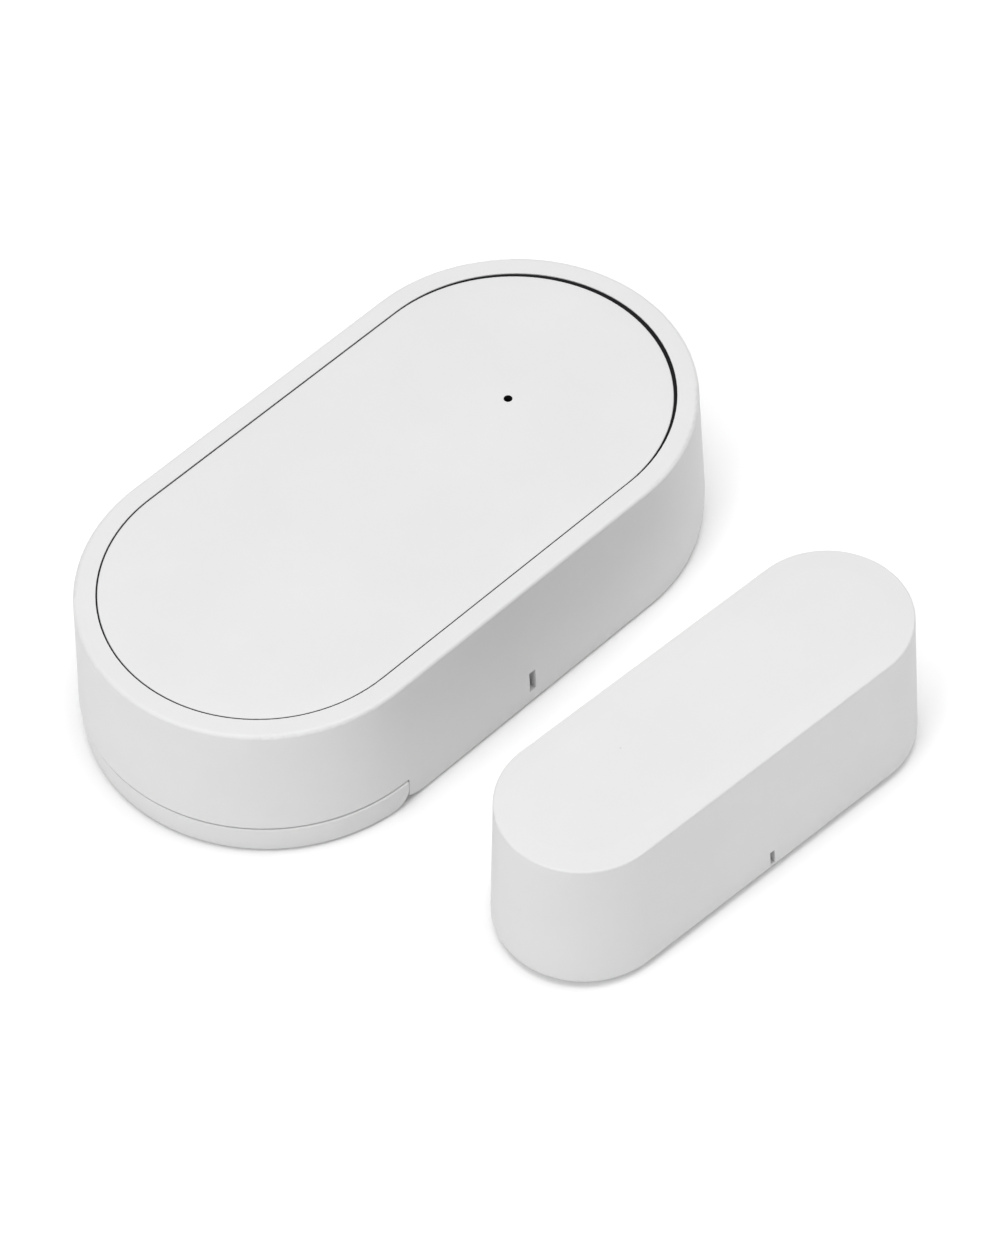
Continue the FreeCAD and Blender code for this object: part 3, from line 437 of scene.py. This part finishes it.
WHITE = (0.625, 0.625, 0.625)
paint = {
    "case_plastic": moulded("case_plastic", WHITE, 0.52, 1.0, 0.4),
    "panel_plastic": moulded("panel_plastic", WHITE, 0.54, 1.2, 0.3),
    # gasket_rubber is near-black painted shade: a dark sheet under the panel's parting gap that
    # makes the gap read as a dark line. It also paints the pinhole's walls and floor as painted
    # shade
    "gasket_rubber": moulded("gasket_rubber", (0.008, 0.008, 0.009), 0.8, 2.0, 0.2, 0.12),
    "cover_plastic": moulded("cover_plastic", shade(WHITE, 0.98), 0.45, 1.1, 0.5),
    "magnet_plastic": moulded("magnet_plastic", WHITE, 0.52, 1.0, 0.5),
    "magnet_back_plastic": moulded("magnet_back_plastic", shade(WHITE, 0.97), 0.48, 1.3, 0.5),
    "foam_tape": foam("foam_tape", (0.78, 0.78, 0.75)),
    "shim_foam": foam("shim_foam", (0.05, 0.05, 0.055), 0.0004),
    "pipe_plastic": clear("pipe_plastic", (0.42, 0.43, 0.45), 0.15, 1.49),
    "board_laminate": laminate("board_laminate", (0.012, 0.13, 0.05), (0.03, 0.24, 0.10),
                               (0.55, 0.50, 0.30)),
    "lamp_body": moulded("lamp_body", (0.85, 0.83, 0.72), 0.3, 0.6, 0.2),
    "tray_plastic": moulded("tray_plastic", (0.62, 0.62, 0.61), 0.5, 1.6, 0.6),
    "contact_steel": metal("contact_steel", (0.72, 0.70, 0.66), 0.28, (1, 1, 12)),
    "spring_steel": metal("spring_steel", (0.70, 0.70, 0.71), 0.22, (1, 1, 1)),
    "cell_steel": metal("cell_steel", (0.74, 0.73, 0.71), 0.24, (20, 1, 1)),
    "cell_film": film("cell_film", (0.035, 0.105, 0.16)),
    "cell_washer": foam("cell_washer", (0.72, 0.66, 0.52), 0.00012),
    "screw_steel": metal("screw_steel", (0.52, 0.52, 0.54), 0.3, (1, 1, 8)),
    "reed_tube": clear("reed_tube", (0.80, 0.93, 0.86), 0.03, 1.5),
    "reed_metal": metal("reed_metal", (0.66, 0.62, 0.55), 0.3, (14, 1, 1)),
    "shield_metal": metal("shield_metal", (0.74, 0.74, 0.73), 0.32, (1, 18, 1)),
    "antenna_ceramic": stone("antenna_ceramic", (0.80, 0.80, 0.76), 4200, 0.5, 0.06),
    "crystal_can": metal("crystal_can", (0.78, 0.78, 0.77), 0.26, (10, 1, 1)),
    "capacitor_sleeve": film("capacitor_sleeve", (0.012, 0.016, 0.04), 0.28),
    "switch_black": moulded("switch_black", (0.018, 0.018, 0.019), 0.45, 1.4, 0.6),
    "plunger_plastic": moulded("plunger_plastic", (0.62, 0.035, 0.022), 0.38, 0.8, 0.5),
    "ferrite": stone("ferrite", (0.035, 0.034, 0.036), 5200, 0.5, 0.3),
    "carrier_plastic": moulded("carrier_plastic", (0.56, 0.56, 0.55), 0.52, 1.6, 0.6),
}
solder = metal("solder", (0.70, 0.70, 0.69), 0.25, (1, 1, 1), 0.2)
band_film = film("band_film", (0.55, 0.30, 0.05))
pale_film = film("pale_film", (0.62, 0.64, 0.66), 0.3)
lens = clear("lens", (0.95, 0.80, 0.30), 0.08, 1.5)
resistor_black = stone("resistor_black", (0.02, 0.02, 0.022), 3800, 0.35, 0.2)
capacitor_tan = stone("capacitor_tan", (0.42, 0.28, 0.17), 4200, 0.45, 0.12)

for subpart in frame["record"]["subparts"]:
    for holder in nodes[subpart["node"]].material_slots:
        holder.material = paint[subpart["material_slot"]]


# ---- foam pads ----

def foam_pad(name, node, length, width, corner, turn, swell, body, slot):
    """Die-cut foam pad: its cut faces bulge a little and are slightly ragged."""
    low, high = extent(node)
    middle = (low + high) / 2
    height = high.z - low.z
    outline = rounded(middle.x, middle.y, length / 2, width / 2, corner, turn, 40)
    shape = Shape()
    layers = []
    steps = 6
    for step in range(steps + 1):
        share = step / steps
        bulge = 4 * share * (1 - share)
        layers.append((swell * (1.2 - bulge), low.z + height * share))
    shape.slab(outline, layers)
    for vert in shape.verts:
        inward = Vector((middle.x - vert.x, middle.y - vert.y, 0)).normalized()
        rise = (vert.z - low.z) / height
        vert += inward * random.uniform(0, swell * 0.5) * 4 * rise * (1 - rise)
    piece = build(name, shape, [paint[slot]], body, slot, node, crease=50)
    return piece


foam_pad("case_foam_pad", "adhesive_pad", 44.0, 22.0, 3.0, 0.0, 0.10, "base", "foam_tape")
foam_pad("magnet_foam_pad", "magnet_pad", 27.0, 9.0, 2.0, MAGNET_TURN, 0.10, "magnet_unit",
         "foam_tape")
foam_pad("magnet_shim_pad", "foam_shim", 26.0, 4.6, 0.6, MAGNET_TURN, 0.25, "magnet_unit",
         "shim_foam")


# ---- AAA cells and their springs ----

def dry_cell(letter, cap_way):
    """Crimped can, film with a band at the positive end and rolled ends, pressed cap."""
    can_low, can_high = extent("cell_%s_can" % letter)
    middle = (can_low + can_high) / 2
    length = can_high.x - can_low.x
    can_rad = (can_high.y - can_low.y) / 2
    origin = Vector((can_high.x if cap_way > 0 else can_low.x, middle.y, middle.z))
    back = (-cap_way, 0, 0)
    can = Shape().lathe(origin, back, [
        (0.45, 0), (0.45, 2.3), (0.30, 2.5), (0.0, 3.0), (0.0, can_rad - 0.55),
        (0.12, can_rad - 0.2), (0.35, can_rad), (length - 0.5, can_rad),
        (length - 0.15, can_rad - 0.15), (length, can_rad - 0.5), (length, can_rad - 0.9),
        (length - 0.35, can_rad - 1.15), (length - 0.35, 3.2), (length - 0.1, 2.9),
        (length - 0.1, 0)])
    build("cell_%s_body" % letter, can, [paint["cell_steel"]], "sensor_front", "cell_steel",
          "cell_%s_can" % letter, crease=30)

    wrap_low, wrap_high = extent("cell_%s_wrap" % letter)
    wrap_rad = (wrap_high.y - wrap_low.y) / 2
    start = (can_high.x - wrap_high.x) if cap_way > 0 else (wrap_low.x - can_low.x)
    end = start + wrap_high.x - wrap_low.x
    sleeve = Shape().lathe(origin, back, [
        (start + 0.12, can_rad + 0.01, 1), (start, can_rad + 0.05, 1),
        (start, wrap_rad - 0.02, 1), (start + 0.15, wrap_rad, 1), (start + 9.0, wrap_rad, 1),
        (start + 9.8, wrap_rad, 2), (end - 1.6, wrap_rad, 0), (end - 1.2, wrap_rad, 2),
        (end - 0.15, wrap_rad, 0), (end, wrap_rad - 0.02, 0), (end, can_rad + 0.05, 0),
        (end - 0.12, can_rad + 0.01, 0), (start + 0.12, can_rad + 0.01, 0)])
    build("cell_%s_sleeve" % letter, sleeve, [paint["cell_film"], band_film, pale_film],
          "sensor_front", "cell_film", "cell_%s_wrap" % letter, crease=30)

    cap_low, cap_high = extent("cell_%s_cap" % letter)
    cap_rad, cap_len = (cap_high.y - cap_low.y) / 2, cap_high.x - cap_low.x
    cap = Shape().lathe(origin, (cap_way, 0, 0), [
        (0.0, 0), (0.0, cap_rad), (0.08, cap_rad), (cap_len - 0.35, cap_rad - 0.12),
        (cap_len - 0.12, cap_rad - 0.25), (cap_len, cap_rad - 0.5), (cap_len, 0.9),
        (cap_len - 0.06, 0.7), (cap_len - 0.06, 0)])
    build("cell_%s_nub" % letter, cap, [paint["cell_steel"]], "sensor_front", "cell_steel",
          "cell_%s_cap" % letter, crease=25)


dry_cell("a", 1)
dry_cell("b", -1)


def coil_spring(name, node):
    """Compression spring with a closed turn at each end."""
    turns, closed, wire = 4.5, 0.8, 0.22
    low, high = extent(node)
    middle = (low + high) / 2
    radius = (high.y - low.y) / 2 - wire
    length = high.x - low.x - 2 * wire
    steps = int(turns * 36)
    path = []
    for step in range(steps + 1):
        share = step / steps
        settled = share * turns
        if settled < closed:
            along = 0.0
        elif settled > turns - closed:
            along = 1.0
        else:
            along = (settled - closed) / (turns - 2 * closed)
        along = along * along * (3 - 2 * along) * 0.4 + along * 0.6
        turn = 2 * math.pi * settled
        path.append((low.x + wire + length * along, middle.y + radius * math.cos(turn),
                     middle.z + radius * math.sin(turn)))
    spring = Shape().tube(path, wire, 14)
    build(name, spring, [paint["spring_steel"]], "sensor_front", "spring_steel", node, crease=60)


coil_spring("near_coil", "spring_near")
coil_spring("far_coil", "spring_far")


# ---- small parts on the boards ----

def screw_thread(name, node, body, pitch, head_height):
    """Thread ridge wound round a screw's shank."""
    core, ridge = 0.70, 0.11
    low, high = extent(node)
    middle = (low + high) / 2
    start, end = low.z + head_height, high.z - 0.15
    steps = int((end - start) / pitch * 24)
    path = []
    for step in range(steps + 1):
        share = step / steps
        turn = 2 * math.pi * share * (end - start) / pitch
        reach = core * min(1.0, 8 * share, 6 * (1 - share) + 0.6)
        path.append((middle.x + reach * math.cos(turn), middle.y + reach * math.sin(turn),
                     start + (end - start) * share))
    build(name, Shape().tube(path, ridge, 6), [paint["screw_steel"]], body, "screw_steel",
          crease=60)


for number in range(1, 5):
    screw_thread("case_thread_%d" % number, "case_screw_%d" % number, "sensor_front", 0.6, 1.1)
for number in (1, 2):
    screw_thread("magnet_thread_%d" % number, "magnet_screw_%d" % number, "magnet_unit", 0.7, 0.8)


def shield_can(node):
    """Drawn radio shield: rounded lid with a grid of vent dimples over a stepped flange."""
    low, high = extent(node)
    middle = (low + high) / 2
    half = (high - low) / 2
    shape = Shape()
    outline = rounded(middle.x, middle.y, half.x, half.y, 0.6)
    rings = shape.slab(outline, [(0.42, low.z), (0.26, low.z + 0.04), (0.16, low.z + 0.14),
                                 (0.14, low.z + 0.26), (0.14, high.z - 0.3),
                                 (0.08, high.z - 0.22), (0.0, high.z - 0.2), (0.0, high.z)],
                       closed=False)
    shape.face(rings[-1])
    vents = []
    for column in range(4):
        for row in range(5):
            x, y = middle.x + (column - 1.5) * 1.3, middle.y + (row - 2) * 1.3
            mouth, lip, bottom = (shape.ring(circle(x, y, z, radius, 20)) for radius, z in (
                (0.32, low.z), (0.28, low.z + 0.04), (0.28, low.z + 0.2)))
            shape.bridge(mouth, lip)
            # the vent dimples' walls and floors take switch_black: painted shade that makes them
            # read as deep dark vents
            shape.bridge(lip, bottom, 1)
            shape.face(bottom, 1)
            vents.append(mouth)
    shape.fill(rings[0], vents)
    build("shield_lid", shape, [paint["shield_metal"], paint["switch_black"]], "sensor_front",
          "shield_metal", node, crease=30)


def chip_antenna(node):
    """Ceramic block with plated ends."""
    low, high = extent(node)
    middle = (low + high) / 2
    half = (high - low) / 2
    shape = Shape()
    shape.slab(rounded(middle.x, middle.y, half.x - 0.1, half.y - 0.06, 0.12),
               edge_layers(low.z + 0.05, high.z - 0.02, 0.08))
    cap = half.x * 0.3
    for side in (-1, 1):
        shape.slab(rounded(middle.x + side * (half.x - cap / 2), middle.y, cap / 2, half.y, 0.1),
                   edge_layers(low.z, high.z, 0.07), 1)
    build("antenna_chip", shape, [paint["antenna_ceramic"], solder], "sensor_front",
          "antenna_ceramic", node)


def crystal_can(node):
    """Seam-welded lid on a ceramic base."""
    low, high = extent(node)
    middle = (low + high) / 2
    half = (high - low) / 2
    shape = Shape()
    outline = rounded(middle.x, middle.y, half.x, half.y, 0.25)
    shape.slab(outline, [(0.0, high.z, 1), (0.0, low.z + 0.3, 1), (0.05, low.z + 0.26, 1),
                         (0.16, low.z + 0.22, 0), (0.2, low.z + 0.06, 0), (0.3, low.z, 0)])
    build("crystal_lid", shape, [paint["crystal_can"], paint["antenna_ceramic"]],
          "sensor_front", "crystal_can", node, crease=30)


def can_capacitor(node):
    """Electrolytic can lying down: rolled groove, scored end, pale polarity stripe."""
    low, high = extent(node)
    middle = (low + high) / 2
    radius, length = (high.y - low.y) / 2, high.x - low.x
    shape = Shape().lathe((low.x, middle.y, middle.z), (1, 0, 0), [
        (0.0, 0, 1), (0.0, radius - 0.5, 1), (0.05, radius - 0.25, 0), (0.25, radius, 0),
        (1.2, radius, 0), (1.45, radius - 0.3, 0), (1.75, radius - 0.3, 0), (2.0, radius, 0),
        (length - 0.3, radius, 0), (length - 0.08, radius - 0.12, 0),
        (length - 0.05, radius - 0.35, 0), (length - 0.12, radius - 0.45, 1),
        (length - 0.12, 0, 1)], steps=40)
    for number, corners in enumerate(shape.faces):
        spot = sum((shape.verts[i] for i in corners), Vector()) / len(corners) - middle
        if shape.paint[number] == 0 and spot.y > radius * 0.85 and len(corners) == 4:
            shape.paint[number] = 2
    build("capacitor_can", shape, [paint["capacitor_sleeve"], paint["crystal_can"], pale_film],
          "sensor_front", "capacitor_sleeve", node, crease=30)


def lamp(node):
    """Side-lit chip lamp: white cup with a domed lens."""
    low, high = extent(node)
    middle = (low + high) / 2
    half = (high - low) / 2
    shape = Shape()
    shape.slab(rounded(middle.x, middle.y, half.x, half.y, 0.08),
               edge_layers(low.z, high.z - 0.2, 0.05))
    shape.slab(rounded(middle.x, middle.y, half.x * 0.62, half.y * 0.8, 0.25),
               [(0.0, high.z - 0.24), (0.0, high.z - 0.12), (0.06, high.z - 0.04),
                (0.16, high.z)], 1)
    build("lamp_lens", shape, [paint["lamp_body"], lens], "sensor_front", "lamp_body", node)


def plunger(name, node, body, flare):
    """Turned button stem with a domed tip and a guide collar."""
    low, high = extent(node)
    middle = (low + high) / 2
    radius, length = (high.x - low.x) / 2, high.z - low.z
    dome = [(radius * 0.35 * (1 - math.cos(a)), radius * math.sin(a))
            for a in (math.pi / 2 * k / 6 for k in range(7))]
    shape = Shape().lathe((middle.x, middle.y, low.z), (0, 0, 1), dome + [
        (length * flare, radius), (length * flare + 0.05, radius - 0.06),
        (length - 0.35, radius - 0.06), (length - 0.3, radius), (length - 0.05, radius),
        (length, radius - 0.05), (length, 0)])
    build(name, shape, [paint["plunger_plastic"]], body, "plunger_plastic", node, crease=30)


def reed_envelope(node):
    """Glass envelope with fused, rounded ends round the blades."""
    low, high = extent(node)
    middle = (low + high) / 2
    half, radius = (high.x - low.x) / 2, (high.y - low.y) / 2
    lead = 0.27
    shape = Shape().lathe((middle.x, middle.y, middle.z), (1, 0, 0), [
        (-half, lead), (-half + 0.1, radius * 0.55), (-half + 0.45, radius * 0.86),
        (-half + 0.9, radius), (half - 0.9, radius), (half - 0.45, radius * 0.86),
        (half - 0.1, radius * 0.55), (half, lead), (half - 1.2, lead + 0.05),
        (half - 1.5, radius - 0.24), (-half + 1.5, radius - 0.24), (-half + 1.2, lead + 0.05),
        (-half, lead)], steps=40)
    build("reed_envelope", shape, [paint["reed_tube"]], "sensor_front", "reed_tube", node,
          crease=60)


shield_can("radio_shield")
chip_antenna("chip_antenna")
crystal_can("timing_crystal")
can_capacitor("bulk_capacitor")
lamp("status_led")
plunger("pairing_stem", "pairing_plunger", "pairing_button", 0.45)
plunger("tamper_stem", "tamper_plunger", "tamper_button", 0.6)
reed_envelope("reed_glass")


def chip_parts():
    """Rows of chip resistors and capacitors on the underside of the main board."""
    board_low, _ = extent("main_board")
    # first x, first y, step to the next part in x and y, number of parts
    rows = [(-27.0, 3.0, 0, -2.1, 5), (-24.5, -13.0, 2.2, 0, 3), (12.5, 13.4, 1.9, 0, 3),
            (13.0, -13.4, 1.9, 0, 3), (-30.5, -2.5, 0, -1.9, 4)]
    shape = Shape()
    for x, y, step_x, step_y, count in rows:
        for number in range(count):
            cx, cy = x + number * step_x, y + number * step_y
            body_paint = number % 2
            tall = 0.45 if body_paint else 0.32
            shape.slab(rounded(cx, cy, 0.55, 0.38, 0.06),
                       edge_layers(board_low.z - tall, board_low.z, 0.05), body_paint)
            for side in (-1, 1):
                shape.slab(rounded(cx + side * 0.66, cy, 0.16, 0.40, 0.05),
                           edge_layers(board_low.z - tall - 0.01, board_low.z, 0.05), 2)
                shape.lathe((cx + side * 0.9, cy, board_low.z), (0, 0, -1),
                            [(0.0, 0), (0.0, 0.30), (0.07, 0.24), (0.14, 0.12), (0.16, 0)], 2, 16)
    build("chip_parts", shape, [resistor_black, capacitor_tan, solder], "sensor_front",
          "board_laminate")


def solder_joints():
    """Solder cones on the top of the main board, where leads and tails come through."""
    _, board_high = extent("main_board")
    reed = centre("reed_glass")
    spots = [(reed.x - 8.5, reed.y), (reed.x + 8.5, reed.y)]
    for node in ("contact_positive", "contact_negative"):
        tail = centre(node)
        spots += [(tail.x - 0.1, tail.y + side * 0.5) for side in (-1, 1)]
    button = centre("pairing_switch")
    spots += [(button.x + sx * 1.6, button.y + sy * 1.2) for sx in (-1, 1) for sy in (-1, 1)]
    shape = Shape()
    for x, y in spots:
        shape.lathe((x, y, board_high.z), (0, 0, 1),
                    [(0.0, 0), (0.0, 0.62), (0.06, 0.5), (0.2, 0.32), (0.36, 0.2), (0.42, 0.12),
                     (0.42, 0)], 0, 20)
    build("solder_joints", shape, [solder], "sensor_front", "board_laminate", crease=50)


chip_parts()
solder_joints()


# ---- inlaid top panel with its gentle crown ----

def inlay_panel(node):
    """Stadium panel: its face falls away slightly towards the parting gap."""
    low, high = extent(node)
    middle = (low + high) / 2
    radius = (high.y - low.y) / 2
    half = (high.x - low.x) / 2 - radius
    pin = centre("light_pipe")
    pin_rad, pin_edge, pin_floor = 0.43, 0.04, high.z - 0.9
    plate_low = extent("panel_gasket")[0].z
    end_steps, edge_steps, crown_steps = 64, 5, 8
    edge_rad, crown_drop, crown_run = 0.12, 0.08, 2.4

    def stadium(inset):
        points = []
        for side in (1, -1):
            for step in range(end_steps + 1):
                a = math.pi * (step / end_steps - side / 2)
                points.append((middle.x + side * half + (radius - inset) * math.cos(a),
                               middle.y + (radius - inset) * math.sin(a)))
        return points

    shape = Shape()
    shoulder = high.z - crown_drop
    layers = [(0.0, plate_low), (0.0, shoulder - edge_rad)]
    for step in range(1, edge_steps + 1):
        a = math.pi / 2 * step / edge_steps
        layers.append((edge_rad * (1 - math.cos(a)), shoulder - edge_rad * (1 - math.sin(a))))
    for step in range(1, crown_steps + 1):
        share = step / crown_steps
        layers.append((edge_rad + crown_run * share, high.z - crown_drop * (1 - share) ** 2))
    rings = shape.slab(stadium, layers, closed=False)
    shape.face(rings[0])
    mouth, lip, bottom = (shape.ring(circle(pin.x, pin.y, z, radius, 32)) for radius, z in (
        (pin_rad + pin_edge, high.z), (pin_rad, high.z - pin_edge), (pin_rad, pin_floor)))
    shape.bridge(mouth, lip)
    # the pinhole's walls below its edge and its floor take the near-black gasket_rubber: painted
    # shade inside the hole
    shape.bridge(lip, bottom, 1)
    shape.face(bottom, 1)
    shape.fill(rings[-1], [mouth])
    build("inlay_panel", shape, [paint["panel_plastic"], paint["gasket_rubber"]],
          "sensor_front", "panel_plastic", node, crease=30)


inlay_panel("top_panel")


# ---- floor, light and camera ----

def studio():
    """Pale floor, even surrounding light and three soft disks."""
    floor_paint = Graph("floor", Roughness=0.8, Specular_IOR_Level=0.2)
    floor_paint.feed(floor_paint.shader, {"Base Color": floor_paint.mix(
        floor_paint.noise(3, 2), (0.90, 0.90, 0.90), (0.905, 0.905, 0.905))})
    reach = 2.0
    mesh = bpy.data.meshes.new("floor")
    mesh.from_pydata([(-reach, -reach, 0), (reach, -reach, 0), (reach, reach, 0),
                      (-reach, reach, 0)], [], [(0, 1, 2, 3)])
    mesh.materials.append(floor_paint.material)
    floor = bpy.data.objects.new("floor", mesh)
    bpy.context.collection.objects.link(floor)

    scene = bpy.context.scene
    scene.view_settings.view_transform = "Standard"
    world = bpy.data.worlds.new("studio")
    scene.world = world
    world.use_nodes = True
    backdrop = world.node_tree.nodes["Background"]
    backdrop.inputs["Color"].default_value = (1, 1, 1, 1)
    backdrop.inputs["Strength"].default_value = 0.48

    lights = (("top", (0.0, 0.0, 1.1), 0.8, 7.3), ("key", (-0.95, -0.1, 0.7), 0.7, 4.9),
              ("fill", (0.6, -0.6, 0.8), 0.7, 1.9))
    for name, place, size, energy in lights:
        light = bpy.data.lights.new(name, "AREA")
        light.shape, light.size, light.energy = "DISK", size, energy
        lamp_holder = bpy.data.objects.new(name, light)
        bpy.context.collection.objects.link(lamp_holder)
        lamp_holder.location = Vector(place)
        lamp_holder.rotation_mode = "QUATERNION"
        lamp_holder.rotation_quaternion = lamp_holder.location.to_track_quat("Z", "Y")


def view_from_photo():
    """Long-lens camera that looks down on the near left end of both units."""
    azimuth, elevation, roll = math.radians(-43.60), math.radians(50.63), math.radians(-2.24)
    distance = 620.7 * MM
    look_at = Vector((4.153, -10.247, 0.835)) * MM
    back = Vector((math.sin(azimuth) * math.cos(elevation),
                   -math.cos(azimuth) * math.cos(elevation), math.sin(elevation)))
    level_right = Vector((0, 0, 1)).cross(back).normalized()
    level_up = back.cross(level_right)
    right = level_right * math.cos(roll) + level_up * math.sin(roll)
    up = level_up * math.cos(roll) - level_right * math.sin(roll)
    camera = bpy.data.objects.new("camera", bpy.data.cameras.new("camera"))
    bpy.context.collection.objects.link(camera)
    camera.data.lens, camera.data.sensor_width = 181.97, 36.0
    camera.data.clip_start, camera.data.clip_end = 0.01, 10
    camera.location = look_at + back * distance
    camera.rotation_mode = "QUATERNION"
    camera.rotation_quaternion = Matrix((right, up, back)).transposed().to_quaternion()
    bpy.context.scene.camera = camera


studio()
view_from_photo()
